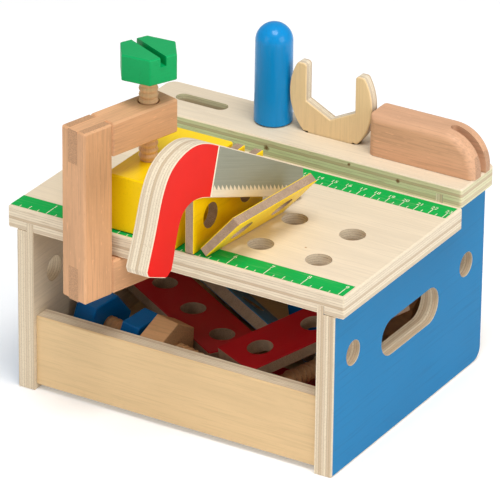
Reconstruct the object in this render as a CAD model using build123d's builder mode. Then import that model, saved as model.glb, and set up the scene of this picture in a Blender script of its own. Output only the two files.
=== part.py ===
"""Toy wooden workbench with its clamp, tools and loose construction pieces.

Millimetres. The origin is on the floor, at the middle of the overall length and depth.
+X runs to the right along the worktop, +Y to the tool rack at the back, +Z up.
"""

import os
from math import cos, radians, sin

from build123d import *

os.makedirs("parts", exist_ok=True)

# Bench
TOP_LENGTH = 234.6
TOP_DEPTH = 143.0
TOP_THICKNESS = 14.5
TOP_HEIGHT = 121.4
BENCH_FRONT_Y = -57.0
SIDE_THICKNESS = 12.0
SIDE_DEPTH = 184.0
SIDE_OUTER_X = 111.3
SIDE_CORNER_RADIUS = 9.0
EDGE_EASE = 0.8
TONGUE_THICKNESS = 4.6
TONGUE_HEIGHT = 5.6
JOINT_GAP = 0.1
FIT_GAP = 0.05
RACK_LENGTH = 234.0
RACK_DEPTH = 44.0
RACK_THICKNESS = 12.2
RACK_FRONT_Y = 85.2
RACK_CORNER_RADIUS = 7.0
BOARD_THICKNESS = 12.0
BOARD_RECESS = 2.5
BOARD_HEIGHT = 47.0
BOARD_BOTTOM = 3.0
BACK_THICKNESS = 8.0
BACK_HEIGHT = 110.0
FLOOR_THICKNESS = 6.0
FLOOR_GROOVE_DEPTH = 3.0
DOWEL_RADIUS = 2.5
DOWEL_LENGTH = 20.0
DOWEL_IN_SIDE = 8.0
DOWEL_BORE_RADIUS = 2.55

SIDE_INNER_X = SIDE_OUTER_X - SIDE_THICKNESS
SIDE_CENTRE_Y = BENCH_FRONT_Y + SIDE_DEPTH / 2
SIDE_REAR_Y = BENCH_FRONT_Y + SIDE_DEPTH
TOP_UNDERSIDE = TOP_HEIGHT - TOP_THICKNESS
TOP_CENTRE_Y = BENCH_FRONT_Y + TOP_DEPTH / 2
TOP_REAR_Y = BENCH_FRONT_Y + TOP_DEPTH
RACK_TOP = TOP_HEIGHT + RACK_THICKNESS
RACK_CENTRE_Y = RACK_FRONT_Y + RACK_DEPTH / 2
BOARD_WIDTH = 2 * (SIDE_INNER_X - JOINT_GAP)
BOARD_CENTRE_Y = BENCH_FRONT_Y + BOARD_RECESS + BOARD_THICKNESS / 2
BACK_CENTRE_Y = SIDE_REAR_Y - BACK_THICKNESS / 2
TONGUE_X = SIDE_INNER_X + TONGUE_THICKNESS / 2

# Holes in the worktop, side panels and construction plates
PEG_HOLE_RADIUS = 8.1
TOP_HOLE_PITCH = 40.0
TOP_HOLE_CENTRE = (-0.7, -1.2)
SIDE_HOLE_SPACING = 138.4
SIDE_HOLE_Z = 74.0
HANDLE_SLOT_LENGTH = 70.0
HANDLE_SLOT_HEIGHT = 24.0
HANDLE_SLOT_Z = 64.7

# Tool rack openings
RACK_TOOL_Y = 110.5
RACK_SLOT_X = -82.6
RACK_SLOT_LENGTH = 37.0
RACK_SLOT_WIDTH = 10.0
SCREWDRIVER_X = -30.7
WRENCH_X = 12.0
WRENCH_SLOT_LENGTH = 40.0
WRENCH_SLOT_WIDTH = 8.4
HAMMER_X = 80.6
SHAFT_HOLE_RADIUS = 4.6
HAMMER_HOLE_RADIUS = 7.6

# Tools in the rack
DRIVER_RADIUS = 12.2
DRIVER_TOP_RADIUS = 11.8
DRIVER_HANDLE_HEIGHT = 66.0
DRIVER_SHAFT_RADIUS = 4.0
DRIVER_SHAFT_LENGTH = 58.0
DRIVER_SHAFT_IN_HANDLE = 25.0
WRENCH_THICKNESS = 7.4
WRENCH_HEAD_RADIUS = 29.2
WRENCH_HEAD_HALF_HEIGHT = 33.7
WRENCH_HEAD_CENTRE = 25.5
WRENCH_TIP_HEIGHT = 45.5
WRENCH_JAW = 34.8
WRENCH_JAW_SHOULDER = 20.6
WRENCH_JAW_BOTTOM = 11.8
WRENCH_TIP_RADIUS = 2.4
WRENCH_GRIP_WIDTH = 32.0
WRENCH_GRIP_DEPTH = 74.0
WRENCH_GRIP_RADIUS = 12.0
HAMMER_SIZE = (74.5, 24.0, 27.0)
HAMMER_EDGE_RADIUS = 5.0
HAMMER_HANDLE_RADIUS = 7.0
HAMMER_HANDLE_DEPTH = 60.0
HAMMER_HANDLE_IN_HEAD = 16.0
HAMMER_NOSE_RADIUS = 24.0
CLAW_WIDTH = 6.4
CLAW_LENGTH = 23.0

# Clamp: a post, two arms and a wooden screw, turned in plan from the bench axes
CLAMP_ANGLE = 75.0
CLAMP_CORNER = (-44.3, -84.7)
CLAMP_WIDTH = 20.6
CLAMP_POST_DEPTH = 22.8
CLAMP_REACH = 76.0
CLAMP_ARM_HEIGHT = 22.0
CLAMP_BOTTOM = 84.6
CLAMP_TOP = 197.0
CLAMP_TENON_WIDTH = 8.0
CLAMP_EASE = 1.2
SCREW_ALONG = 61.0
SCREW_RADIUS = 5.95
SCREW_ROOT_RADIUS = 4.9
SCREW_BORE_RADIUS = 6.0
SCREW_PITCH = 4.0
SCREW_LENGTH = 65.0
SCREW_IN_HEAD = 9.0
HEX_FLATS = 33.0
HEX_HEIGHT = 16.8
HEX_EASE = 1.0
HEX_TURN = 4.5
HEAD_SLOT_WIDTH = 4.2
HEAD_SLOT_DEPTH = 6.0

# Saw
SAW_THICKNESS = 14.6
SAW_LEFT_X = 14.1
SAW_HEEL_RADIUS = 4.5

# Construction pieces
PLATE_LENGTH = 80.0
PLATE_WIDTH = 37.0
PLATE_THICKNESS = 6.2
PLATE_HOLE_INSET = 19.0
BLOCK_SIZE = (42.0, 78.0, 36.4)
STRIP_LENGTH = 116.0
STRIP_THICKNESS = 8.0
NUT_THICKNESS = 15.0
NUT_BORE_RADIUS = 6.05

PART_GAP = 0.3


def save(part, name):
    """Label a finished sub-part and write its STEP file."""
    part.label = name
    export_step(part, f"parts/{name}.step")


# ---------------------------------------------------------------- bench panels


def side_panel(side):
    """One plywood side with its handle slot, peg holes, tongues and dowel bores."""
    inner_x = side * SIDE_INNER_X
    outer_x = side * SIDE_OUTER_X
    left_x = min(inner_x, outer_x)
    front_y = BENCH_FRONT_Y
    shoulder_y = TOP_REAR_Y + PART_GAP
    with BuildPart() as panel:
        with BuildSketch(Plane.YZ.offset(left_x)):
            with BuildLine():
                Polyline(
                    (front_y, 0),
                    (SIDE_REAR_Y, 0),
                    (SIDE_REAR_Y, TOP_HEIGHT),
                    (shoulder_y, TOP_HEIGHT),
                    (shoulder_y, TOP_UNDERSIDE),
                    (front_y, TOP_UNDERSIDE),
                    close=True,
                )
            make_face()
        extrude(amount=SIDE_THICKNESS)
        rear_bottom = panel.edges().filter_by(Axis.X).sort_by(Axis.Z)[:2].sort_by(Axis.Y)[-1:]
        fillet(rear_bottom, radius=SIDE_CORNER_RADIUS)
        outer_face = panel.faces().filter_by(Axis.X).sort_by(Axis.X)[0 if side < 0 else -1]
        chamfer(outer_face.edges(), length=EDGE_EASE)
        with BuildSketch(Plane.YZ.offset(left_x)):
            with Locations((SIDE_CENTRE_Y, SIDE_HOLE_Z)):
                with GridLocations(SIDE_HOLE_SPACING, 0, 2, 1):
                    Circle(PEG_HOLE_RADIUS)
            with Locations((SIDE_CENTRE_Y, HANDLE_SLOT_Z)):
                SlotOverall(HANDLE_SLOT_LENGTH, HANDLE_SLOT_HEIGHT)
        extrude(amount=SIDE_THICKNESS, mode=Mode.SUBTRACT)
        # Tongue into the worktop groove, and the same into the rack
        with Locations((side * TONGUE_X, (front_y + TOP_REAR_Y) / 2, TOP_UNDERSIDE)):
            Box(
                TONGUE_THICKNESS,
                TOP_DEPTH,
                TONGUE_HEIGHT,
                align=(Align.CENTER, Align.CENTER, Align.MIN),
            )
        rack_tongue_length = SIDE_REAR_Y - RACK_FRONT_Y - 2
        with Locations((side * TONGUE_X, SIDE_REAR_Y - 2 - rack_tongue_length / 2, TOP_HEIGHT)):
            Box(
                TONGUE_THICKNESS,
                rack_tongue_length,
                TONGUE_HEIGHT,
                align=(Align.CENTER, Align.CENTER, Align.MIN),
            )
        # Groove for the bin floor
        with BuildSketch(Plane.XZ.offset(-(BENCH_FRONT_Y + BOARD_RECESS + BOARD_THICKNESS))):
            with Locations((inner_x, BOARD_BOTTOM + FLOOR_THICKNESS / 2)):
                Rectangle(2 * FLOOR_GROOVE_DEPTH, FLOOR_THICKNESS + 2 * JOINT_GAP)
        extrude(amount=-(BACK_CENTRE_Y - BOARD_CENTRE_Y), mode=Mode.SUBTRACT)
        with BuildSketch(Plane.YZ.offset(inner_x)):
            with Locations(*dowel_points()):
                Circle(DOWEL_BORE_RADIUS)
        extrude(amount=side * (DOWEL_IN_SIDE + JOINT_GAP), mode=Mode.SUBTRACT)
    return panel


def dowel_points():
    """Where the hidden dowels enter a side panel, as Y and Z."""
    front_heights = (BOARD_BOTTOM + 12, BOARD_BOTTOM + BOARD_HEIGHT - 12)
    back_heights = (BOARD_BOTTOM + 20, BOARD_BOTTOM + BACK_HEIGHT - 25)
    front = [(BOARD_CENTRE_Y, height) for height in front_heights]
    back = [(BACK_CENTRE_Y, height) for height in back_heights]
    return front + back


for side, label in ((-1, "side_left"), (1, "side_right")):
    with BuildPart() as side_part:
        add(side_panel(side).part)
    save(side_part.part, label)

with BuildPart() as worktop:
    with BuildSketch(Plane.XY.offset(TOP_UNDERSIDE)):
        with Locations((0, TOP_CENTRE_Y)):
            Rectangle(TOP_LENGTH, TOP_DEPTH)
    extrude(amount=TOP_THICKNESS)
    chamfer(worktop.edges(), length=EDGE_EASE)
    with BuildSketch(Plane.XY.offset(TOP_UNDERSIDE)):
        with Locations(TOP_HOLE_CENTRE):
            with GridLocations(TOP_HOLE_PITCH, TOP_HOLE_PITCH, 5, 2):
                Circle(PEG_HOLE_RADIUS)
    extrude(amount=TOP_THICKNESS, mode=Mode.SUBTRACT)
    with BuildSketch(Plane.XY.offset(TOP_UNDERSIDE)):
        with Locations((-TONGUE_X, TOP_CENTRE_Y), (TONGUE_X, TOP_CENTRE_Y)):
            Rectangle(TONGUE_THICKNESS + 2 * JOINT_GAP, TOP_DEPTH)
    extrude(amount=TONGUE_HEIGHT + JOINT_GAP, mode=Mode.SUBTRACT)
save(worktop.part, "worktop")

with BuildPart() as tool_rack:
    with BuildSketch(Plane.XY.offset(TOP_HEIGHT)) as rack_outline:
        with Locations((0, RACK_CENTRE_Y)):
            Rectangle(RACK_LENGTH, RACK_DEPTH)
        fillet(rack_outline.vertices().group_by(Axis.Y)[-1], radius=RACK_CORNER_RADIUS)
        fillet(rack_outline.vertices().group_by(Axis.Y)[0], radius=1.5)
    extrude(amount=RACK_THICKNESS)
    chamfer(tool_rack.edges().group_by(Axis.Z)[-1], length=EDGE_EASE)
    with BuildSketch(Plane.XY.offset(TOP_HEIGHT)):
        with Locations((RACK_SLOT_X, RACK_TOOL_Y)):
            SlotOverall(RACK_SLOT_LENGTH, RACK_SLOT_WIDTH)
        with Locations((WRENCH_X, RACK_TOOL_Y)):
            SlotOverall(WRENCH_SLOT_LENGTH, WRENCH_SLOT_WIDTH)
        with Locations((SCREWDRIVER_X, RACK_TOOL_Y)):
            Circle(SHAFT_HOLE_RADIUS)
        with Locations((HAMMER_X, RACK_TOOL_Y)):
            Circle(HAMMER_HOLE_RADIUS)
    extrude(amount=RACK_THICKNESS, mode=Mode.SUBTRACT)
    with BuildSketch(Plane.XY.offset(TOP_HEIGHT)):
        groove_length = SIDE_REAR_Y - RACK_FRONT_Y
        with Locations(*[(s * TONGUE_X, SIDE_REAR_Y - groove_length / 2) for s in (-1, 1)]):
            Rectangle(TONGUE_THICKNESS + 2 * JOINT_GAP, groove_length + 0.2)
    extrude(amount=TONGUE_HEIGHT + JOINT_GAP, mode=Mode.SUBTRACT)
save(tool_rack.part, "tool_rack")


def cross_board(centre_y, thickness, height):
    """A board between the side panels, bored at both ends for its dowels."""
    heights = [z for y, z in dowel_points() if y == centre_y]
    with BuildPart() as board:
        with BuildSketch(Plane.XY.offset(BOARD_BOTTOM)):
            with Locations((0, centre_y)):
                Rectangle(BOARD_WIDTH, thickness)
        extrude(amount=height)
        chamfer(board.edges().filter_by(Axis.X), length=EDGE_EASE)
        depth = DOWEL_LENGTH - DOWEL_IN_SIDE + JOINT_GAP
        for side in (-1, 1):
            with BuildSketch(Plane.YZ.offset(side * BOARD_WIDTH / 2)):
                with Locations(*[(centre_y, z) for z in heights]):
                    Circle(DOWEL_BORE_RADIUS)
            extrude(amount=-side * depth, mode=Mode.SUBTRACT)
    return board


with BuildPart() as front_board:
    add(cross_board(BOARD_CENTRE_Y, BOARD_THICKNESS, BOARD_HEIGHT).part)
save(front_board.part, "front_board")

with BuildPart() as back_board:
    add(cross_board(BACK_CENTRE_Y, BACK_THICKNESS, BACK_HEIGHT).part)
save(back_board.part, "back_board")

with BuildPart() as bin_floor:
    front = BOARD_CENTRE_Y + BOARD_THICKNESS / 2 + JOINT_GAP
    rear = BACK_CENTRE_Y - BACK_THICKNESS / 2 - JOINT_GAP
    with BuildSketch(Plane.XY.offset(BOARD_BOTTOM)):
        with Locations((0, (front + rear) / 2)):
            Rectangle(2 * (SIDE_INNER_X + FLOOR_GROOVE_DEPTH - JOINT_GAP), rear - front)
    extrude(amount=FLOOR_THICKNESS)
save(bin_floor.part, "bin_floor")

with BuildPart() as dowels:
    for side in (-1, 1):
        with BuildSketch(Plane.YZ.offset(side * (SIDE_INNER_X + DOWEL_IN_SIDE))):
            with Locations(*dowel_points()):
                Circle(DOWEL_RADIUS)
        extrude(amount=-side * DOWEL_LENGTH)
    chamfer(dowels.edges().filter_by(GeomType.CIRCLE), length=0.5)
save(dowels.part, "dowels")


# ---------------------------------------------------------------- clamp

CLAMP_HEADING = radians(CLAMP_ANGLE)
ALONG = Vector(cos(CLAMP_HEADING), sin(CLAMP_HEADING), 0)
ACROSS = Vector(-sin(CLAMP_HEADING), cos(CLAMP_HEADING), 0)
CLAMP_START = Vector(*CLAMP_CORNER, 0) + ACROSS * (CLAMP_WIDTH / 2)
SCREW_POINT = CLAMP_START + ALONG * SCREW_ALONG


def clamp_plane(height):
    """Plan plane with its local X along the clamp arms, centred on their width."""
    return Plane(origin=CLAMP_START + Vector(0, 0, height), x_dir=ALONG, z_dir=(0, 0, 1))


with BuildPart() as clamp_post:
    with BuildSketch(clamp_plane(CLAMP_BOTTOM)):
        with Locations((CLAMP_POST_DEPTH / 2, 0)):
            Rectangle(CLAMP_POST_DEPTH, CLAMP_WIDTH)
    extrude(amount=CLAMP_TOP - CLAMP_BOTTOM)
    chamfer(clamp_post.edges(), length=CLAMP_EASE)
    # Open mortises for the arms' tenons
    for height in (CLAMP_BOTTOM, CLAMP_TOP - CLAMP_ARM_HEIGHT):
        with BuildSketch(clamp_plane(height)):
            with Locations((CLAMP_POST_DEPTH / 2, 0)):
                Rectangle(CLAMP_POST_DEPTH + 2, CLAMP_TENON_WIDTH + 2 * JOINT_GAP)
        extrude(amount=CLAMP_ARM_HEIGHT, mode=Mode.SUBTRACT)
save(clamp_post.part, "clamp_post")


def clamp_arm(height):
    """An arm with a tenon that goes right through the post."""
    length = CLAMP_REACH - CLAMP_POST_DEPTH - JOINT_GAP
    with BuildPart() as arm:
        with BuildSketch(clamp_plane(height)):
            with Locations((CLAMP_REACH - length / 2, 0)):
                Rectangle(length, CLAMP_WIDTH)
        extrude(amount=CLAMP_ARM_HEIGHT)
        chamfer(arm.edges(), length=CLAMP_EASE)
        with BuildSketch(clamp_plane(height + JOINT_GAP)):
            with Locations((CLAMP_POST_DEPTH / 2 + 2, 0)):
                Rectangle(CLAMP_POST_DEPTH + 4, CLAMP_TENON_WIDTH)
        extrude(amount=CLAMP_ARM_HEIGHT - 2 * JOINT_GAP)
    return arm


with BuildPart() as clamp_lower_arm:
    add(clamp_arm(CLAMP_BOTTOM).part)
save(clamp_lower_arm.part, "clamp_lower_arm")

with BuildPart() as clamp_upper_arm:
    add(clamp_arm(CLAMP_TOP - CLAMP_ARM_HEIGHT).part)
    with BuildSketch(clamp_plane(CLAMP_TOP - CLAMP_ARM_HEIGHT)):
        with Locations((SCREW_ALONG, 0)):
            Circle(SCREW_BORE_RADIUS)
    extrude(amount=CLAMP_ARM_HEIGHT, mode=Mode.SUBTRACT)
    bore_rims = clamp_upper_arm.edges().filter_by(GeomType.CIRCLE)
    chamfer(bore_rims, length=1.0)
save(clamp_upper_arm.part, "clamp_upper_arm")


def threaded_shaft(plane, length, radius=SCREW_RADIUS, root=SCREW_ROOT_RADIUS):
    """A wooden shaft ringed at the thread pitch, standing on the given plane."""
    turns = int((length - 3) / SCREW_PITCH)
    section = Plane(origin=plane.origin, x_dir=plane.x_dir, z_dir=-plane.y_dir)
    with BuildPart() as shaft:
        with BuildSketch(section):
            with BuildLine():
                outline = [(0, 0), (root, 0), (root, 1)]
                for turn in range(turns):
                    base = 1 + turn * SCREW_PITCH
                    outline += [
                        (radius - 0.3, base + 0.28 * SCREW_PITCH),
                        (radius, base + 0.5 * SCREW_PITCH),
                        (radius - 0.3, base + 0.72 * SCREW_PITCH),
                        (root, base + SCREW_PITCH),
                    ]
                outline += [(root, length), (0, length)]
                Polyline(*outline, close=True)
            make_face()
        revolve(axis=Axis(plane.origin, plane.z_dir))
    return shaft


def hex_prism(plane, thickness):
    """A hexagonal head or nut body on the given plane, with eased edges."""
    with BuildPart() as prism:
        with BuildSketch(plane):
            RegularPolygon(HEX_FLATS / 2, 6, major_radius=False)
        extrude(amount=thickness)
        fillet(prism.edges(), radius=HEX_EASE)
    return prism


SCREW_TIP = TOP_HEIGHT + PART_GAP + BLOCK_SIZE[2] + PART_GAP
SCREW_HEAD_BASE = SCREW_TIP + SCREW_LENGTH - SCREW_IN_HEAD

with BuildPart() as clamp_screw:
    add(threaded_shaft(Plane(SCREW_POINT + Vector(0, 0, SCREW_TIP)), SCREW_LENGTH - JOINT_GAP).part)
save(clamp_screw.part, "clamp_screw")

with BuildPart() as clamp_screw_head:
    head_plane = Plane(SCREW_POINT + Vector(0, 0, SCREW_HEAD_BASE)).rotated((0, 0, HEX_TURN))
    add(hex_prism(head_plane, HEX_HEIGHT).part)
    with BuildSketch(head_plane):
        Circle(SCREW_BORE_RADIUS)
    extrude(amount=SCREW_IN_HEAD, mode=Mode.SUBTRACT)
    with BuildSketch(head_plane.offset(HEX_HEIGHT)):
        Rectangle(2 * HEX_FLATS, HEAD_SLOT_WIDTH, rotation=-30)
    extrude(amount=-HEAD_SLOT_DEPTH, mode=Mode.SUBTRACT)
save(clamp_screw_head.part, "clamp_screw_head")


# ---------------------------------------------------------------- rack tools

RACK_REST = RACK_TOP + PART_GAP

with BuildPart() as driver_handle:
    with BuildSketch(Plane.XZ.offset(-RACK_TOOL_Y)):
        with BuildLine():
            foot = RACK_REST
            shoulder = foot + DRIVER_HANDLE_HEIGHT - DRIVER_TOP_RADIUS
            Line((SCREWDRIVER_X, foot), (SCREWDRIVER_X + DRIVER_RADIUS - 1, foot))
            Line((SCREWDRIVER_X + DRIVER_RADIUS - 1, foot), (SCREWDRIVER_X + DRIVER_RADIUS, foot + 1))
            Line(
                (SCREWDRIVER_X + DRIVER_RADIUS, foot + 1),
                (SCREWDRIVER_X + DRIVER_TOP_RADIUS, shoulder),
            )
            RadiusArc(
                (SCREWDRIVER_X + DRIVER_TOP_RADIUS, shoulder),
                (SCREWDRIVER_X, shoulder + DRIVER_TOP_RADIUS),
                -DRIVER_TOP_RADIUS,
            )
            Line((SCREWDRIVER_X, shoulder + DRIVER_TOP_RADIUS), (SCREWDRIVER_X, foot))
        make_face()
    revolve(axis=Axis((SCREWDRIVER_X, RACK_TOOL_Y, 0), (0, 0, 1)))
    with BuildSketch(Plane.XY.offset(RACK_REST)):
        with Locations((SCREWDRIVER_X, RACK_TOOL_Y)):
            Circle(DRIVER_SHAFT_RADIUS + FIT_GAP)
    extrude(amount=DRIVER_SHAFT_IN_HANDLE, mode=Mode.SUBTRACT)
save(driver_handle.part, "screwdriver_handle")

with BuildPart() as driver_shaft:
    with BuildSketch(Plane.XY.offset(RACK_REST - DRIVER_SHAFT_LENGTH)):
        with Locations((SCREWDRIVER_X, RACK_TOOL_Y)):
            Circle(DRIVER_SHAFT_RADIUS)
    extrude(amount=DRIVER_SHAFT_LENGTH + DRIVER_SHAFT_IN_HANDLE - JOINT_GAP)
    # Flat blade at the tip
    with BuildSketch(Plane.XY.offset(RACK_REST - DRIVER_SHAFT_LENGTH)):
        with Locations(*[(SCREWDRIVER_X, RACK_TOOL_Y + s * DRIVER_SHAFT_RADIUS) for s in (-1, 1)]):
            Rectangle(2 * DRIVER_SHAFT_RADIUS, 5.2)
    extrude(amount=8, mode=Mode.SUBTRACT)
save(driver_shaft.part, "screwdriver_shaft")

with BuildPart() as wrench:
    with BuildSketch(Plane.XZ.offset(-(RACK_TOOL_Y + WRENCH_THICKNESS / 2))) as wrench_outline:
        with Locations((WRENCH_X, RACK_REST + WRENCH_HEAD_CENTRE)):
            Ellipse(WRENCH_HEAD_RADIUS, WRENCH_HEAD_HALF_HEIGHT)
        with Locations((WRENCH_X, RACK_REST + WRENCH_TIP_HEIGHT / 2)):
            Rectangle(2 * WRENCH_HEAD_RADIUS, WRENCH_TIP_HEIGHT, mode=Mode.INTERSECT)
        # Jaw: straight flanks and a V at the bottom
        with BuildLine():
            Polyline(
                (WRENCH_X - WRENCH_JAW / 2, RACK_REST + 60),
                (WRENCH_X - WRENCH_JAW / 2, RACK_REST + WRENCH_JAW_SHOULDER),
                (WRENCH_X, RACK_REST + WRENCH_JAW_BOTTOM),
                (WRENCH_X + WRENCH_JAW / 2, RACK_REST + WRENCH_JAW_SHOULDER),
                (WRENCH_X + WRENCH_JAW / 2, RACK_REST + 60),
                close=True,
            )
        make_face(mode=Mode.SUBTRACT)
        fillet(wrench_outline.vertices().group_by(Axis.Y)[-1], radius=WRENCH_TIP_RADIUS)
        with Locations((WRENCH_X, RACK_REST + 8)):
            Rectangle(WRENCH_GRIP_WIDTH, WRENCH_GRIP_DEPTH + 8, align=(Align.CENTER, Align.MAX))
        fillet(wrench_outline.vertices().group_by(Axis.Y)[0], radius=WRENCH_GRIP_RADIUS)
    extrude(amount=WRENCH_THICKNESS)
    chamfer(wrench.faces().filter_by(Axis.Y).edges(), length=0.6)
save(wrench.part, "wrench")

with BuildPart() as hammer_head:
    length, depth, height = HAMMER_SIZE
    with BuildSketch(Plane.XZ.offset(-(RACK_TOOL_Y + depth / 2))) as head_outline:
        with Locations((HAMMER_X, RACK_REST + height / 2)):
            Rectangle(length, height)
        fillet(head_outline.vertices().group_by(Axis.Y)[-1].sort_by(Axis.X)[0], radius=1.5)
        fillet(head_outline.vertices().sort_by(Axis.X).group_by(Axis.Y)[-1][-1], radius=HAMMER_NOSE_RADIUS)
    extrude(amount=depth)
    fillet(hammer_head.faces().filter_by(Axis.Y).edges().filter_by(Axis.X).group_by(Axis.Z)[-1], radius=HAMMER_EDGE_RADIUS)
    # Claw slot, rounded where it ends inside the head
    with BuildSketch(Plane.XY.offset(RACK_REST)):
        with Locations((HAMMER_X + length / 2, RACK_TOOL_Y)):
            SlotOverall(2 * CLAW_LENGTH, CLAW_WIDTH)
    extrude(amount=height, mode=Mode.SUBTRACT)
    with BuildSketch(Plane.XY.offset(RACK_REST)):
        with Locations((HAMMER_X, RACK_TOOL_Y)):
            Circle(HAMMER_HANDLE_RADIUS + FIT_GAP)
    extrude(amount=HAMMER_HANDLE_IN_HEAD, mode=Mode.SUBTRACT)
save(hammer_head.part, "hammer_head")

with BuildPart() as hammer_handle:
    with BuildSketch(Plane.XY.offset(RACK_REST - HAMMER_HANDLE_DEPTH)):
        with Locations((HAMMER_X, RACK_TOOL_Y)):
            Circle(HAMMER_HANDLE_RADIUS)
    extrude(amount=HAMMER_HANDLE_DEPTH + HAMMER_HANDLE_IN_HEAD - JOINT_GAP)
    fillet(hammer_handle.edges().group_by(Axis.Z)[0], radius=3.0)
save(hammer_handle.part, "hammer_handle")


# ---------------------------------------------------------------- saw

SAW_NECK_TOP = (-53.2, 196.4)
SAW_NECK_BOTTOM = (-61.1, 165.4)
SAW_NOSE_TOP = (46.5, 142.2)
SAW_NOSE_BOTTOM = (46.0, 122.6)


def direction(start, end):
    """Vector in the saw's outline from one point to another."""
    return (end[0] - start[0], end[1] - start[1])


with BuildPart() as saw:
    with BuildSketch(Plane.YZ.offset(SAW_LEFT_X)) as saw_outline:
        with BuildLine():
            back = Spline(
                (-131.9, 146.0),
                (-122.4, 168.6),
                (-114.6, 189.0),
                (-106.0, 200.0),
                (-91.8, 205.8),
                (-75.0, 205.6),
                SAW_NECK_TOP,
                tangents=[(2, 5), direction(SAW_NECK_TOP, SAW_NOSE_TOP)],
            )
            Line(SAW_NECK_TOP, SAW_NOSE_TOP)
            Line(SAW_NOSE_TOP, SAW_NOSE_BOTTOM)
            Line(SAW_NOSE_BOTTOM, SAW_NECK_BOTTOM)
            crook = Spline(
                SAW_NECK_BOTTOM,
                (-75.2, 170.2),
                (-85.0, 170.6),
                (-92.0, 167.8),
                (-97.0, 160.0),
                (-102.0, 144.0),
                (-104.6, 136.4),
                tangents=[direction(SAW_NOSE_BOTTOM, SAW_NECK_BOTTOM), (-2, -5)],
            )
            FilletPolyline(crook @ 1, (-110.0, 133.3), (-130.4, 142.2), back @ 0, radius=SAW_HEEL_RADIUS)
        make_face()
    extrude(amount=SAW_THICKNESS)
    chamfer(saw.edges().filter_by(Axis.X, reverse=True), length=0.5)
save(saw.part, "saw")


# ---------------------------------------------------------------- yellow pieces


def holed_plate(plane, length, width, thickness, holes):
    """A flat construction plate with a row of peg holes, centred on the plane's origin."""
    pitch = (length - 2 * PLATE_HOLE_INSET) / (holes - 1)
    with BuildPart() as plate:
        with BuildSketch(plane):
            Rectangle(length, width)
        extrude(amount=thickness)
        chamfer(plate.edges(), length=0.5)
        with BuildSketch(plane):
            with GridLocations(pitch, 0, holes, 1):
                Circle(PEG_HOLE_RADIUS)
        extrude(amount=thickness, mode=Mode.SUBTRACT)
    return plate


WORK_REST = TOP_HEIGHT + PART_GAP
PLATE_CENTRE_Z = WORK_REST + PLATE_WIDTH / 2

with BuildPart() as yellow_block:
    with BuildSketch(Plane.XY.offset(WORK_REST)):
        with Locations((-29.7, -13.0)):
            Rectangle(BLOCK_SIZE[0], BLOCK_SIZE[1])
    extrude(amount=BLOCK_SIZE[2])
    chamfer(yellow_block.edges(), length=0.8)
save(yellow_block.part, "yellow_block")

for label, left_x in (("yellow_plate_left", -5.4), ("yellow_plate_middle", 7.4)):
    standing = Plane(origin=(left_x, -15.8, PLATE_CENTRE_Z), x_dir=(0, 1, 0), z_dir=(1, 0, 0))
    with BuildPart() as upright_plate:
        add(holed_plate(standing, PLATE_LENGTH, PLATE_WIDTH, PLATE_THICKNESS, 2).part)
    save(upright_plate.part, label)

LEAN_YAW = radians(5.6)
LEAN_RISE = radians(49.0)
LEAN_FOOT = Vector(21.3, -54.3, WORK_REST)
LEAN_ALONG = Vector(sin(LEAN_YAW), cos(LEAN_YAW), 0)
LEAN_UP = Vector(
    cos(LEAN_RISE) * cos(LEAN_YAW),
    -cos(LEAN_RISE) * sin(LEAN_YAW),
    sin(LEAN_RISE),
)
LEAN_OUT = LEAN_ALONG.cross(LEAN_UP)
LEAN_LENGTH = 78.0

with BuildPart() as yellow_plate_leaning:
    middle = LEAN_FOOT + LEAN_ALONG * (LEAN_LENGTH / 2) + LEAN_UP * (PLATE_WIDTH / 2)
    leaning = Plane(origin=middle, x_dir=LEAN_ALONG, z_dir=LEAN_OUT * -1)
    add(holed_plate(leaning, LEAN_LENGTH, PLATE_WIDTH, PLATE_THICKNESS, 2).part)
save(yellow_plate_leaning.part, "yellow_plate_leaning")


# ---------------------------------------------------------------- strips in the bin


def heading(angle, fall=0.0):
    """Unit vector at a plan angle from +X, dipping by the fall angle, in degrees."""
    turn = radians(angle)
    dip = radians(fall)
    return Vector(cos(turn) * cos(dip), sin(turn) * cos(dip), -sin(dip))


def lying_plane(centre, angle, fall=0.0, tilt=0.0):
    """Plane of a strip's underside: it dips along its length by fall and across it by tilt."""
    along = heading(angle, fall)
    level = heading(angle + 90)
    across = level * cos(radians(tilt)) - along.cross(level) * sin(radians(tilt))
    return Plane(origin=centre, x_dir=along, z_dir=along.cross(across))


STRIPS = {
    "red_strip_level": ((-38.0, 28.6, 28.0), -31.5, 0.0, 0.0, STRIP_LENGTH, 3),
    "blue_strip_tilted": ((-19.9, 61.6, 22.4), -31.5, 0.0, 38.0, STRIP_LENGTH, 3),
    "red_strip_sloping": ((52.6, 22.2, 45.6), 64.0, -8.6, 0.0, STRIP_LENGTH, 3),
    "red_plate_flat": ((52.7, 3.0, 9.3), 0.0, 0.0, 0.0, PLATE_LENGTH, 2),
}

for label, (centre, angle, fall, tilt, length, holes) in STRIPS.items():
    underside = lying_plane(centre, angle, fall, tilt)
    with BuildPart() as strip:
        add(holed_plate(underside, length, PLATE_WIDTH, STRIP_THICKNESS, holes).part)
    save(strip.part, label)


# ---------------------------------------------------------------- bolts and nuts in the bin


def axis_plane(centre, angle, fall=0.0, roll=0.0):
    """Plane across a bolt's axis, facing along it from the head towards the tip."""
    along = heading(angle, fall)
    level = heading(angle + 90)
    corner = level * cos(radians(roll)) + along.cross(level) * sin(radians(roll))
    return Plane(origin=centre, x_dir=corner, z_dir=along)


def bolt_head(plane):
    """A hexagonal wooden head with a blind hole for its shaft."""
    with BuildPart() as head:
        add(hex_prism(plane.offset(-HEX_HEIGHT / 2), HEX_HEIGHT).part)
        with BuildSketch(plane.offset(HEX_HEIGHT / 2)):
            Circle(SCREW_RADIUS + FIT_GAP)
        extrude(amount=-SCREW_IN_HEAD, mode=Mode.SUBTRACT)
    return head


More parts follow.
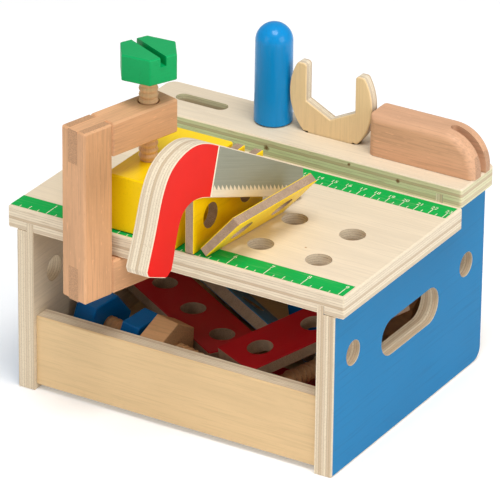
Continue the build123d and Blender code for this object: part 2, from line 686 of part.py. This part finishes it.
def bolt_shaft(plane, length):
    """A ringed shaft that starts inside the head on the same plane."""
    start = plane.offset(HEX_HEIGHT / 2 - SCREW_IN_HEAD + JOINT_GAP)
    with BuildPart() as shaft:
        add(threaded_shaft(start, length + SCREW_IN_HEAD).part)
    return shaft


def hex_nut(plane):
    """A hexagonal nut with a through bore, centred on the plane."""
    with BuildPart() as nut:
        add(hex_prism(plane.offset(-NUT_THICKNESS / 2), NUT_THICKNESS).part)
        with BuildSketch(plane.offset(-NUT_THICKNESS / 2)):
            Circle(NUT_BORE_RADIUS)
        extrude(amount=NUT_THICKNESS, mode=Mode.SUBTRACT)
    return nut


FRONT_BOLT = axis_plane((-82.5, -8.3, 31.5), -13.0, roll=8.0)
FRONT_NUT_OFFSET = 38.5
UNDER_BOLT = axis_plane((64.7, 40.0, 26.0), 253.0)
PLAIN_BOLT = axis_plane((-25.0, -24.5, 36.8), -9.0, fall=4.0, roll=30.0)
REAR_BOLT = axis_plane((72.7, 97.0, 26.0), 195.0)
LOOSE_NUT = axis_plane((14.0, 90.0, 28.0), 100.0, roll=20.0)

BOLTS = {
    "front_bolt": (FRONT_BOLT, 39.0),
    "under_bolt": (UNDER_BOLT, 44.0),
    "plain_bolt": (PLAIN_BOLT, 28.0),
    "rear_bolt": (REAR_BOLT, 24.0),
}

for label, (plane, length) in BOLTS.items():
    with BuildPart() as loose_head:
        add(bolt_head(plane).part)
    save(loose_head.part, f"{label}_head")
    with BuildPart() as loose_shaft:
        add(bolt_shaft(plane, length).part)
    save(loose_shaft.part, f"{label}_shaft")

with BuildPart() as front_nut:
    add(hex_nut(FRONT_BOLT.offset(FRONT_NUT_OFFSET)).part)
save(front_nut.part, "front_nut")

with BuildPart() as loose_nut:
    add(hex_nut(LOOSE_NUT).part)
save(loose_nut.part, "loose_nut")
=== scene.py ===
"""Looks for the toy workbench: birch plywood, beech, gloss paint and printed marks.

The CAD nodes carry the shapes and get procedural materials. The printed rulers and the saw's
print are thin pieces added here, and the small knots are painted by the materials. Metres, in
the row's frame.
"""

import math

import bmesh
import bpy
from mathutils import Matrix, Vector


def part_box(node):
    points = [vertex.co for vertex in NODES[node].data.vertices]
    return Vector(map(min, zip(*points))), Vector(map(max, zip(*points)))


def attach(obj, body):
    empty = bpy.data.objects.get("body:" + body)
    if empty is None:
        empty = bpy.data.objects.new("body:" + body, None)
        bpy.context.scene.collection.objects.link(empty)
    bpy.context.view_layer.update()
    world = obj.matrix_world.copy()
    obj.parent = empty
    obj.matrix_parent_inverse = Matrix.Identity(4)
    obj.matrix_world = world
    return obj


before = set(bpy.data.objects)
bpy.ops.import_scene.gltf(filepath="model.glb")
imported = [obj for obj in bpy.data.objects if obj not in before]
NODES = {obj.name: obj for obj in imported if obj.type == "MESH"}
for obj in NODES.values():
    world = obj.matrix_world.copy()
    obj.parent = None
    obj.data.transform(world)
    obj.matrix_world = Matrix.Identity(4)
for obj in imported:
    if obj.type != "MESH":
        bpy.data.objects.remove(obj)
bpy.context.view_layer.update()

X_AXIS = (1, 0, 0)
Y_AXIS = (0, 1, 0)
Z_AXIS = (0, 0, 1)

INCH = 0.0254
CENTIMETRE = 0.01
PRINT_LIFT = 0.00005
MARK_LIFT = 0.00009
CLAMP_ANGLE = math.radians(75)
SLOPING_ANGLE = math.radians(64)
SLOPING_RISE = math.radians(8.6)
LEVEL_ANGLE = math.radians(-31.5)
TILTED_ROLL = math.radians(38)
LEAN_YAW = math.radians(5.6)
LEAN_RISE = math.radians(49)

CAMERA_PLACE = (1.3917, -2.3072, 1.4301)
CAMERA_RIGHT = (0.8568, 0.5155, 0.0101)
CAMERA_UP = (-0.2362, 0.3751, 0.8964)
CAMERA_BACK = (0.4583, -0.7705, 0.4431)
CAMERA_LENS = 358.1
WORLD_STRENGTH = 0.42
FLOOR_HALF_SIZE = 6
FLOOR_HEIGHT = -0.0004
FLOOR_GLOW = 0.16
LIGHT_AIM = (0.0, 0.0, 0.08)

# Name, place, size and power of each soft light
LIGHTS = (
    ("key", (0.5, -0.5, 2.2), 1.1, 34.0),
    ("right", (2.0, -0.2, 0.9), 1.2, 15.0),
    ("front", (-0.7, -2.0, 0.9), 1.2, 6.5),
)


def srgb(red, green, blue):
    """Linear colour from 0 to 255 display values."""
    channels = []
    for value in (red, green, blue):
        value = value / 255
        channels.append(value / 12.92 if value <= 0.04045 else ((value + 0.055) / 1.055) ** 2.4)
    return (*channels, 1.0)


def shade(colour, factor):
    """The same colour, lighter or darker by a factor."""
    return tuple(min(1.0, channel * factor) for channel in colour[:3]) + (1.0,)


BIRCH = srgb(230, 213, 186)
PLY_LIGHT = srgb(232, 218, 192)
PLY_DARK = srgb(190, 164, 132)
GLUE = srgb(140, 112, 88)
BEECH = srgb(216, 165, 122)
PALE_BEECH = srgb(214, 166, 130)
MDF = srgb(168, 142, 118)
BLUE = srgb(0, 116, 168)
GREEN = srgb(0, 160, 88)
YELLOW = srgb(250, 210, 10)
RED = srgb(176, 14, 26)
PRINT_GREEN = srgb(0, 166, 72)
PRINT_RED = srgb(224, 24, 20)
PRINT_GREY = srgb(146, 146, 130)
CREAM = srgb(240, 232, 206)


# ---------------------------------------------------------------- shader building


class Look:
    """The node tree of one material, with short calls for the nodes used here."""

    def __init__(self, name, roughness, coat=0.0, specular=0.3):
        self.material = bpy.data.materials.new(name)
        self.material.use_nodes = True
        self.tree = self.material.node_tree
        self.shader = self.tree.nodes["Principled BSDF"]
        self.shader.inputs["Roughness"].default_value = roughness
        self.shader.inputs["Coat Weight"].default_value = coat
        self.shader.inputs["Coat Roughness"].default_value = 0.12
        self.shader.inputs["Specular IOR Level"].default_value = specular
        place = self.tree.nodes.new("ShaderNodeTexCoord")
        self.position = place.outputs["Object"]
        self.normal = place.outputs["Normal"]

    def fill(self, socket, value):
        """Links a socket to an output, or sets it to a plain value."""
        if isinstance(value, bpy.types.NodeSocket):
            self.tree.links.new(value, socket)
        else:
            socket.default_value = value

    def math(self, operation, first, second=0.0, third=0.0):
        node = self.tree.nodes.new("ShaderNodeMath")
        node.operation = operation
        for socket, value in zip(node.inputs, (first, second, third)):
            self.fill(socket, value)
        return node.outputs["Value"]

    def along(self, vector, axis):
        """Component of a vector output along a fixed direction."""
        node = self.tree.nodes.new("ShaderNodeVectorMath")
        node.operation = "DOT_PRODUCT"
        self.fill(node.inputs[0], vector)
        node.inputs[1].default_value = axis
        return node.outputs["Value"]

    def faces(self, axis, limit=0.6):
        """1 on surfaces that face either way along the axis, 0 on the others."""
        size = self.math("ABSOLUTE", self.along(self.normal, axis))
        return self.math("GREATER_THAN", size, limit)

    def stretched(self, grain, length, width):
        """Position with features of the given length along the grain and width across it."""
        forward = Vector(grain).normalized()
        helper = Vector(Z_AXIS) if abs(forward.z) < 0.8 else Vector(X_AXIS)
        side = forward.cross(helper).normalized()
        other = forward.cross(side)
        node = self.tree.nodes.new("ShaderNodeCombineXYZ")
        for socket, axis, size in zip(node.inputs, (forward, side, other), (length, width, width)):
            self.tree.links.new(self.math("DIVIDE", self.along(self.position, axis), size), socket)
        return node.outputs["Vector"]

    def noise(self, vector, scale=1.0, detail=3.0, distortion=0.0):
        node = self.tree.nodes.new("ShaderNodeTexNoise")
        self.fill(node.inputs["Vector"], vector)
        node.inputs["Scale"].default_value = scale
        node.inputs["Detail"].default_value = detail
        node.inputs["Distortion"].default_value = distortion
        return node.outputs["Fac"]

    def ramp(self, factor, *stops):
        """Colour ramp from (position, colour) stops."""
        node = self.tree.nodes.new("ShaderNodeValToRGB")
        ramp = node.color_ramp
        while len(ramp.elements) < len(stops):
            ramp.elements.new(1.0)
        for element, (place, colour) in zip(ramp.elements, stops):
            element.position = place
            element.color = colour
        self.fill(node.inputs["Fac"], factor)
        return node.outputs["Color"]

    def step(self, factor, start, end):
        """Rises smoothly from 0 to 1 between two values, or falls if they are swapped."""
        node = self.tree.nodes.new("ShaderNodeMapRange")
        node.interpolation_type = "SMOOTHSTEP"
        self.fill(node.inputs["Value"], factor)
        node.inputs["From Min"].default_value = min(start, end)
        node.inputs["From Max"].default_value = max(start, end)
        node.inputs["To Min"].default_value = 0.0 if start < end else 1.0
        node.inputs["To Max"].default_value = 1.0 if start < end else 0.0
        return node.outputs["Result"]

    def mix(self, factor, first, second, mode="MIX"):
        node = self.tree.nodes.new("ShaderNodeMix")
        node.data_type = "RGBA"
        node.blend_type = mode
        self.fill(node.inputs[0], factor)
        self.fill(node.inputs[6], first)
        self.fill(node.inputs[7], second)
        return node.outputs[2]

    def bump(self, height, distance, strength=1.0):
        node = self.tree.nodes.new("ShaderNodeBump")
        node.inputs["Distance"].default_value = distance
        node.inputs["Strength"].default_value = strength
        self.fill(node.inputs["Height"], height)
        self.tree.links.new(node.outputs["Normal"], self.shader.inputs["Normal"])

    def colour(self, value):
        self.fill(self.shader.inputs["Base Color"], value)

    def spot(self, colour, centre, radius, tint):
        """A small soft-edged knot painted over the colour around a point."""
        node = self.tree.nodes.new("ShaderNodeVectorMath")
        node.operation = "DISTANCE"
        self.fill(node.inputs[0], self.position)
        node.inputs[1].default_value = centre
        wobble = self.noise(self.position, 900.0, 2.0)
        away = self.math("MULTIPLY_ADD", wobble, radius * 0.9, node.outputs["Value"])
        return self.mix(self.step(away, radius * 1.7, radius * 0.7), colour, tint)


def wood_face(look, grain, tone, contrast=1.0):
    """Broad figure, fine streaks and short dark pores of a wooden face, as colour and height."""
    broad = look.noise(look.stretched(grain, 0.11, 0.013), 1.0, 4.0, 0.6)
    streaks = look.noise(look.stretched(grain, 0.03, 0.0011), 1.0, 4.0)
    pores = look.noise(look.stretched(grain, 0.0042, 0.00042), 1.0, 2.0)
    figure = look.ramp(
        broad,
        (0.28, shade(tone, 1 - 0.13 * contrast)),
        (0.50, tone),
        (0.74, shade(tone, 1 + 0.06 * contrast)),
    )
    lined = look.mix(look.step(streaks, 0.42, 0.72), figure, shade(tone, 1 - 0.17 * contrast))
    flecked = look.mix(look.step(pores, 0.62, 0.78), lined, shade(tone, 1 - 0.24 * contrast))
    height = look.math("SUBTRACT", streaks, look.math("MULTIPLY", look.step(pores, 0.6, 0.78), 0.6))
    return flecked, height


def ply_edge(look, axis, thickness, offset, tint=None):
    """Stacked veneers seen on an edge: each ply has its own tone, with a dark glue line between."""
    waver = look.math("MULTIPLY", look.noise(look.position, 28.0, 2.0), 0.0007)
    depth = look.math("ADD", look.along(look.position, axis), waver)
    layer = look.math("DIVIDE", look.math("SUBTRACT", depth, offset), thickness)
    number = look.math("FLOOR", layer)
    random = look.tree.nodes.new("ShaderNodeTexWhiteNoise")
    random.noise_dimensions = "1D"
    look.fill(random.inputs["W"], number)
    light = tint or PLY_LIGHT
    tone = look.ramp(
        random.outputs["Value"],
        (0.0, look_between(light, PLY_DARK, 0.75)),
        (0.35, look_between(light, PLY_DARK, 0.25)),
        (1.0, light),
    )
    inside = look.math("FRACT", layer)
    fibre = look.noise(look.stretched(other_axis(axis), 0.012, 0.0005), 1.0, 3.0)
    fibred = look.mix(look.step(fibre, 0.5, 0.8), tone, PLY_DARK)
    glue = look.math("MULTIPLY", look.step(inside, 0.22, 0.02), 0.55)
    return look.mix(glue, fibred, GLUE), inside


def look_between(first, second, amount):
    """Colour part of the way from the first to the second."""
    return tuple(a + (b - a) * amount for a, b in zip(first, second))


def other_axis(axis):
    """A row axis at right angles to a panel's thickness, for the fibres on its edges."""
    return Y_AXIS if abs(axis[0]) > 0.5 else X_AXIS


def plywood(name, axis, grain, ply, offset, tone=BIRCH, tint=None, knots=()):
    """Clear-lacquered plywood with veneer faces and layered edges."""
    look = Look(name, 0.5, coat=0.06)
    face, height = wood_face(look, grain, tone, 0.55)
    for centre, radius in knots:
        face = look.spot(face, centre, radius, srgb(176, 132, 92))
    edge, inside = ply_edge(look, axis, ply, offset, tint)
    for centre, radius in knots:
        edge = look.spot(edge, centre, radius, srgb(128, 88, 58))
    look.colour(look.mix(look.faces(axis), edge, face))
    look.bump(look.math("ADD", height, look.math("MULTIPLY", inside, 0.5)), 0.00006)
    return look.material


def side_plywood(name, side):
    """Plywood side panel: blue gloss outside, bare veneer inside, layered edges."""
    look = Look(name, 0.5, coat=0.02, specular=0.12)
    veneer, height = wood_face(look, Y_AXIS, shade(BIRCH, 0.9), 0.7)
    edge, inside = ply_edge(look, X_AXIS, 0.0017, 0.0004)
    bare = look.mix(look.faces(X_AXIS), edge, veneer)
    outward = look.math("GREATER_THAN", look.along(look.normal, (side, 0, 0)), 0.75)
    grain = look.noise(look.stretched(Y_AXIS, 0.05, 0.0016), 1.0, 4.0)
    clouds = look.noise(look.position, 9.0, 3.0)
    paint = look.ramp(clouds, (0.3, shade(BLUE, 0.93)), (0.7, shade(BLUE, 1.05)))
    paint = look.mix(look.step(grain, 0.5, 0.8), paint, shade(BLUE, 0.86))
    look.colour(look.mix(outward, bare, paint))
    look.fill(look.shader.inputs["Roughness"], look.math("MULTIPLY_ADD", outward, -0.08, 0.5))
    look.bump(look.math("ADD", look.math("MULTIPLY", height, 0.4), grain), 0.00004)
    return look.material


def solid_wood(name, grain, tone, contrast=1.0, roughness=0.55):
    """Bare sanded beech, with short ray flecks across broad pinkish figure."""
    look = Look(name, roughness, coat=0.03)
    colour, height = wood_face(look, grain, tone, contrast)
    rays = look.noise(look.stretched(grain, 0.0065, 0.0009), 1.0, 1.0)
    colour = look.mix(look.step(rays, 0.66, 0.8), colour, shade(tone, 1.16))
    specks = look.noise(look.position, 1400.0, 2.0)
    end_grain = look.ramp(specks, (0.35, shade(tone, 0.6)), (0.65, shade(tone, 0.84)))
    look.colour(look.mix(look.faces(grain, limit=0.9), colour, end_grain))
    look.bump(height, 0.00005)
    return look.material


def paint(name, tone, grain, roughness=0.3, coat=0.35, axis=None):
    """Gloss paint that lets the grain through; with an axis, the other sides are bare fibreboard."""
    look = Look(name, roughness, coat, specular=0.15)
    clouds = look.noise(look.position, 22.0, 3.0)
    streaks = look.noise(look.stretched(grain, 0.03, 0.0012), 1.0, 3.0)
    colour = look.ramp(clouds, (0.3, shade(tone, 0.92)), (0.7, shade(tone, 1.05)))
    colour = look.mix(look.step(streaks, 0.5, 0.8), colour, shade(tone, 0.88))
    grit = look.noise(look.position, 500.0, 2.0)
    height = look.math("ADD", look.math("MULTIPLY", streaks, 0.5), grit)
    if axis:
        specks = look.noise(look.position, 1900.0, 2.0)
        blotches = look.noise(look.position, 160.0, 3.0)
        core = look.ramp(specks, (0.3, shade(MDF, 0.72)), (0.5, MDF), (0.72, shade(MDF, 1.25)))
        core = look.mix(look.step(blotches, 0.45, 0.7), core, shade(MDF, 0.82))
        colour = look.mix(look.faces(axis), core, colour)
        dullness = look.math("MULTIPLY_ADD", look.faces(axis), -0.45, 0.8)
        look.fill(look.shader.inputs["Roughness"], dullness)
        look.shader.inputs["Coat Weight"].default_value = 0.1
        height = look.math("ADD", height, look.math("MULTIPLY", specks, 0.8))
    look.colour(colour)
    look.bump(height, 0.00003)
    return look.material


def ink(name, tone):
    """Screen-printed ink: even and slightly worn, with the veneer's grain faintly in it."""
    look = Look(name, 0.5, 0.0, specular=0.12)
    wear = look.noise(look.stretched(X_AXIS, 0.02, 0.0014), 1.0, 4.0)
    clouds = look.noise(look.position, 40.0, 3.0)
    colour = look.ramp(clouds, (0.3, shade(tone, 0.93)), (0.7, shade(tone, 1.05)))
    look.colour(look.mix(look.step(wear, 0.55, 0.85), colour, look_between(tone, CREAM, 0.16)))
    look.bump(wear, 0.00002)
    return look.material


# ---------------------------------------------------------------- saw print

SAW_EDGE_START = Vector((0.0, 0.046, 0.1226))
SAW_EDGE_END = Vector((0.0, -0.0611, 0.1654))
SAW_RED_TOP = Vector((0.0, -0.0531, 0.1931))
SAW_RED_BOTTOM = Vector((0.0, -0.0614, 0.1660))
TOOTH_PITCH = 0.0050
TOOTH_HEIGHT = 0.0033
TOOTH_MARGIN = 0.0044
RED_BORDER = 0.0007
SAW_PRINT_MARGIN = 0.0016


def saw_ink():
    """Red handle and grey blade with a row of teeth, divided by lines in the saw's own plane."""
    look = Look("saw_ink", 0.45, 0.02, specular=0.15)
    edge = (SAW_EDGE_END - SAW_EDGE_START).normalized()
    away = Vector((0.0, edge.z, -edge.y))
    run = look.math("SUBTRACT", look.along(look.position, edge), edge.dot(SAW_EDGE_START))
    rise = look.math("SUBTRACT", look.along(look.position, away), away.dot(SAW_EDGE_START))
    tooth = look.math("FRACT", look.math("DIVIDE", run, TOOTH_PITCH))
    line = look.math("MULTIPLY_ADD", tooth, TOOTH_HEIGHT, TOOTH_MARGIN)
    above = look.math("GREATER_THAN", rise, line)
    brushed = look.noise(look.stretched(edge, 0.04, 0.0006), 1.0, 4.0)
    steel = look.ramp(brushed, (0.3, shade(PRINT_GREY, 0.92)), (0.7, shade(PRINT_GREY, 1.06)))
    veneer, height = wood_face(look, edge, shade(BIRCH, 0.98), 0.5)
    blade = look.mix(above, veneer, steel)
    border = (SAW_RED_TOP - SAW_RED_BOTTOM).normalized()
    front = Vector((0.0, -border.z, border.y))
    handle = look.math("GREATER_THAN", look.along(look.position, front), front.dot(SAW_RED_BOTTOM))
    clouds = look.noise(look.position, 30.0, 3.0)
    red = look.ramp(clouds, (0.3, shade(PRINT_RED, 0.95)), (0.7, shade(PRINT_RED, 1.05)))
    printed = look.mix(handle, blade, red)
    past_border = look.math("SUBTRACT", look.along(look.position, front), front.dot(SAW_RED_BOTTOM))
    on_border = look.math("LESS_THAN", look.math("ABSOLUTE", past_border), RED_BORDER)
    look.colour(look.mix(on_border, printed, CREAM))
    look.bump(brushed, 0.00002)
    return look.material


def saw_print():
    """The saw's printed face: a copy of its right side, drawn in by the bare margin."""
    source = NODES["saw"].data
    right = max(vertex.co.x for vertex in source.vertices)
    made = bmesh.new()
    made.from_mesh(source)
    others = [face for face in made.faces if any(abs(v.co.x - right) > 1e-6 for v in face.verts)]
    bmesh.ops.delete(made, geom=others, context="FACES")
    bmesh.ops.remove_doubles(made, verts=made.verts, dist=1e-6)
    bmesh.ops.dissolve_faces(made, faces=made.faces)
    bmesh.ops.inset_region(made, faces=made.faces, thickness=SAW_PRINT_MARGIN, use_even_offset=True)
    outer = [face for face in made.faces if len(face.verts) == 4]
    bmesh.ops.delete(made, geom=outer, context="FACES")
    for vertex in made.verts:
        vertex.co.x += PRINT_LIFT
    return add_mesh("saw_print", made, saw_ink(), "saw_body")


def add_mesh(name, made, material, body):
    """Finishes a bmesh as a piece with its material, riding on a body."""
    mesh = bpy.data.meshes.new(name)
    made.to_mesh(mesh)
    made.free()
    mesh.materials.append(material)
    piece = bpy.data.objects.new(name, mesh)
    bpy.context.scene.collection.objects.link(piece)
    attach(piece, body)
    return piece


# ---------------------------------------------------------------- printed rulers

FRONT_RULER_Y = (-0.0551, -0.0404)
REAR_RULER_Y = (0.0678, 0.0832)
RULER_LEFT_MARGIN = 0.0006
RULER_RIGHT_MARGIN = 0.0019
RULER_TICK_START = 0.0002
RULER_NUMBER_GAP = 0.0006
TICK_HALF_WIDTH = 0.00024

# Lengths of the ticks at whole units, at halves and at quarters
INCH_TICKS = (0.0088, 0.0042, 0.0024)
CENTIMETRE_TICKS = (0.0068, 0.0030, 0.0030)


def add_quad(made, x0, x1, y0, y1, z):
    corners = [made.verts.new(point) for point in ((x0, y0, z), (x1, y0, z), (x1, y1, z), (x0, y1, z))]
    made.faces.new(corners)


def number_faces(made, text, x, y, z, size):
    """Adds the outline of a printed number, centred in x and standing on y."""
    curve = bpy.data.curves.new("number", type="FONT")
    curve.body = text
    curve.size = size
    curve.align_x = "CENTER"
    holder = bpy.data.objects.new("number", curve)
    bpy.context.scene.collection.objects.link(holder)
    bpy.context.view_layer.update()
    flat = bpy.data.meshes.new_from_object(holder)
    flat.transform(Matrix.Translation((x, y, z)))
    made.from_mesh(flat)
    bpy.data.objects.remove(holder)
    bpy.data.meshes.remove(flat)


def ruler(name, front, rear, unit, count, parts, lengths, size):
    """A green band with cream marks: a tick every unit part, and a number at each whole unit."""
    low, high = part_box("worktop")
    left = low.x + RULER_LEFT_MARGIN
    right = high.x - RULER_RIGHT_MARGIN
    top = high.z
    band = bmesh.new()
    add_quad(band, left, right, front, rear, top + PRINT_LIFT)
    add_mesh(name + "_band", band, ink(name + "_green", PRINT_GREEN), "bench")
    marks = bmesh.new()
    for index in range(1, count * parts + 1):
        x = left + index * unit / parts
        length = lengths[0] if index % parts == 0 else lengths[1]
        if parts == 4 and index % 4 in (1, 3):
            length = lengths[2]
        foot = front + RULER_TICK_START
        add_quad(marks, x - TICK_HALF_WIDTH, x + TICK_HALF_WIDTH, foot, front + length, top + MARK_LIFT)
        if index % parts == 0:
            number_y = front + length + RULER_NUMBER_GAP
            number_faces(marks, str(index // parts), x, number_y, top + MARK_LIFT, size)
    add_mesh(name + "_marks", marks, ink(name + "_cream", CREAM), "bench")


def rulers():
    """Inches in front, centimetres at the rear."""
    ruler("front_ruler", *FRONT_RULER_Y, INCH, 9, 4, INCH_TICKS, 0.0050)
    ruler("rear_ruler", *REAR_RULER_Y, CENTIMETRE, 23, 2, CENTIMETRE_TICKS, 0.0046)


# ---------------------------------------------------------------- materials on the CAD nodes


def dress(material, *names):
    """Gives a material to CAD nodes."""
    for name in names:
        slots = NODES[name].data.materials
        slots.clear()
        slots.append(material)


def strip_normal(angle, rise=0.0, roll=0.0):
    """Directions along a strip and out of its painted face, from its angle, rise and roll."""
    along = Vector((math.cos(angle) * math.cos(rise), math.sin(angle) * math.cos(rise), math.sin(rise)))
    level = Vector((-math.sin(angle), math.cos(angle), 0))
    across = level * math.cos(roll) - along.cross(level) * math.sin(roll)
    return along, along.cross(across)


def dress_bench():
    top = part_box("worktop")[1].z
    rack_low, rack_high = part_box("tool_rack")
    worktop_knots = [((0.0645, -0.0112, top), 0.0009)]
    rack_knots = [
        ((-0.0205, rack_low.y, 0.1272), 0.0021),
        ((0.0382, rack_low.y, 0.1308), 0.0012),
        ((0.0727, rack_low.y, 0.1284), 0.0016),
    ]
    dress(plywood("worktop_ply", Z_AXIS, X_AXIS, 0.0016, 0.1069, knots=worktop_knots), "worktop")
    green_tint = srgb(220, 216, 176)
    dress(
        plywood("rack_ply", Z_AXIS, X_AXIS, 0.0018, rack_low.z, tint=green_tint, knots=rack_knots),
        "tool_rack",
    )
    dress(plywood("front_ply", Y_AXIS, X_AXIS, 0.0016, 0.0001, tone=srgb(222, 190, 142)), "front_board")
    dress(plywood("back_ply", Y_AXIS, X_AXIS, 0.0016, 0.0003, tone=srgb(216, 186, 140)), "back_board")
    dress(plywood("floor_ply", Z_AXIS, X_AXIS, 0.0015, 0.003, tone=srgb(205, 175, 130)), "bin_floor")
    dress(side_plywood("left_panel", -1), "side_left")
    dress(side_plywood("right_panel", 1), "side_right")
    dress(solid_wood("dowel_beech", X_AXIS, BEECH), "dowels")


def dress_clamp():
    arm = (math.cos(CLAMP_ANGLE), math.sin(CLAMP_ANGLE), 0)
    dress(solid_wood("clamp_post_beech", Z_AXIS, BEECH), "clamp_post")
    dress(solid_wood("clamp_arm_beech", arm, shade(BEECH, 1.03)), "clamp_lower_arm", "clamp_upper_arm")
    dress(solid_wood("screw_beech", Z_AXIS, srgb(222, 180, 132), 0.8), "clamp_screw")
    dress(paint("green_gloss", GREEN, arm, roughness=0.4, coat=0.1), "clamp_screw_head")


def dress_tools():
    dress(paint("driver_blue", srgb(0, 138, 206), Z_AXIS, 0.3, 0.3), "screwdriver_handle")
    dress(solid_wood("driver_beech", Z_AXIS, BEECH), "screwdriver_shaft")
    dress(plywood("wrench_ply", Y_AXIS, Z_AXIS, 0.0015, 0.1068, tone=srgb(238, 208, 160)), "wrench")
    dress(solid_wood("hammer_beech", X_AXIS, PALE_BEECH), "hammer_head")
    dress(solid_wood("hammer_stick", Z_AXIS, PALE_BEECH), "hammer_handle")
    dress(plywood("saw_ply", X_AXIS, (0, 0.85, -0.5), 0.0017, 0.0141), "saw")


def dress_blocks():
    dress(paint("yellow_block", YELLOW, Y_AXIS, 0.34, 0.2), "yellow_block")
    dress(paint("yellow_upright", YELLOW, Y_AXIS, axis=X_AXIS), "yellow_plate_left", "yellow_plate_middle")
    lean_along = Vector((math.sin(LEAN_YAW), math.cos(LEAN_YAW), 0))
    lean_up = Vector(
        (
            math.cos(LEAN_RISE) * math.cos(LEAN_YAW),
            -math.cos(LEAN_RISE) * math.sin(LEAN_YAW),
            math.sin(LEAN_RISE),
        )
    )
    lean_out = tuple(lean_along.cross(lean_up))
    dress(paint("yellow_leaning", YELLOW, tuple(lean_along), axis=lean_out), "yellow_plate_leaning")


def dress_bin():
    along, normal = strip_normal(LEVEL_ANGLE)
    dress(paint("red_level", RED, along, axis=tuple(normal)), "red_strip_level")
    along, normal = strip_normal(SLOPING_ANGLE, SLOPING_RISE)
    dress(paint("red_sloping", RED, along, axis=tuple(normal)), "red_strip_sloping")
    along, normal = strip_normal(LEVEL_ANGLE, 0.0, TILTED_ROLL)
    dress(paint("blue_tilted", BLUE, along, axis=tuple(normal)), "blue_strip_tilted")
    dress(paint("red_flat", RED, X_AXIS, axis=Z_AXIS), "red_plate_flat")
    bolt_blue = paint("bolt_blue", srgb(0, 112, 190), X_AXIS, 0.3, 0.4)
    dress(bolt_blue, "front_bolt_head", "under_bolt_head", "front_nut", "loose_nut")
    bolt_beech = solid_wood("bolt_beech", X_AXIS, srgb(218, 170, 122))
    dress(bolt_beech, "plain_bolt_head", "rear_bolt_head", "plain_bolt_shaft", "rear_bolt_shaft")
    dress(bolt_beech, "front_bolt_shaft", "under_bolt_shaft")


# ---------------------------------------------------------------- studio


def studio():
    """Pale floor, soft lights from above, the right and the front, and the camera."""
    floor = bmesh.new()
    reach = FLOOR_HALF_SIZE
    add_quad(floor, -reach, reach, -reach, reach, FLOOR_HEIGHT)
    mesh = bpy.data.meshes.new("floor")
    floor.to_mesh(mesh)
    floor.free()
    look = Look("floor_paper", 0.9)
    look.shader.inputs["Emission Color"].default_value = (1.0, 1.0, 1.0, 1)
    look.shader.inputs["Emission Strength"].default_value = FLOOR_GLOW
    fibres = look.noise(look.position, 60.0, 3.0)
    look.colour(look.ramp(fibres, (0.3, (0.90, 0.90, 0.90, 1)), (0.7, (0.93, 0.93, 0.93, 1))))
    mesh.materials.append(look.material)
    plane = bpy.data.objects.new("floor", mesh)
    bpy.context.scene.collection.objects.link(plane)

    world = bpy.data.worlds.new("studio")
    world.use_nodes = True
    background = world.node_tree.nodes["Background"]
    background.inputs["Color"].default_value = (1.0, 1.0, 1.0, 1)
    background.inputs["Strength"].default_value = WORLD_STRENGTH
    bpy.context.scene.world = world

    for light in LIGHTS:
        area_light(*light)

    bpy.context.scene.view_settings.view_transform = "Standard"

    camera = bpy.data.cameras.new("camera")
    camera.sensor_width = 36.0
    camera.lens = CAMERA_LENS
    camera.clip_end = 50.0
    holder = bpy.data.objects.new("camera", camera)
    turn = Matrix((CAMERA_RIGHT, CAMERA_UP, CAMERA_BACK)).transposed().to_4x4()
    holder.matrix_world = Matrix.Translation(CAMERA_PLACE) @ turn
    bpy.context.scene.collection.objects.link(holder)
    bpy.context.scene.camera = holder


def area_light(name, place, size, power):
    """A square soft light aimed at the middle of the bench."""
    data = bpy.data.lights.new(name, type="AREA")
    data.size = size
    data.energy = power
    lamp = bpy.data.objects.new(name, data)
    lamp.location = place
    aim = Vector(LIGHT_AIM) - Vector(place)
    lamp.rotation_euler = aim.to_track_quat("-Z", "Y").to_euler()
    bpy.context.scene.collection.objects.link(lamp)


dress_bench()
dress_clamp()
dress_tools()
dress_blocks()
dress_bin()
rulers()
saw_print()
studio()
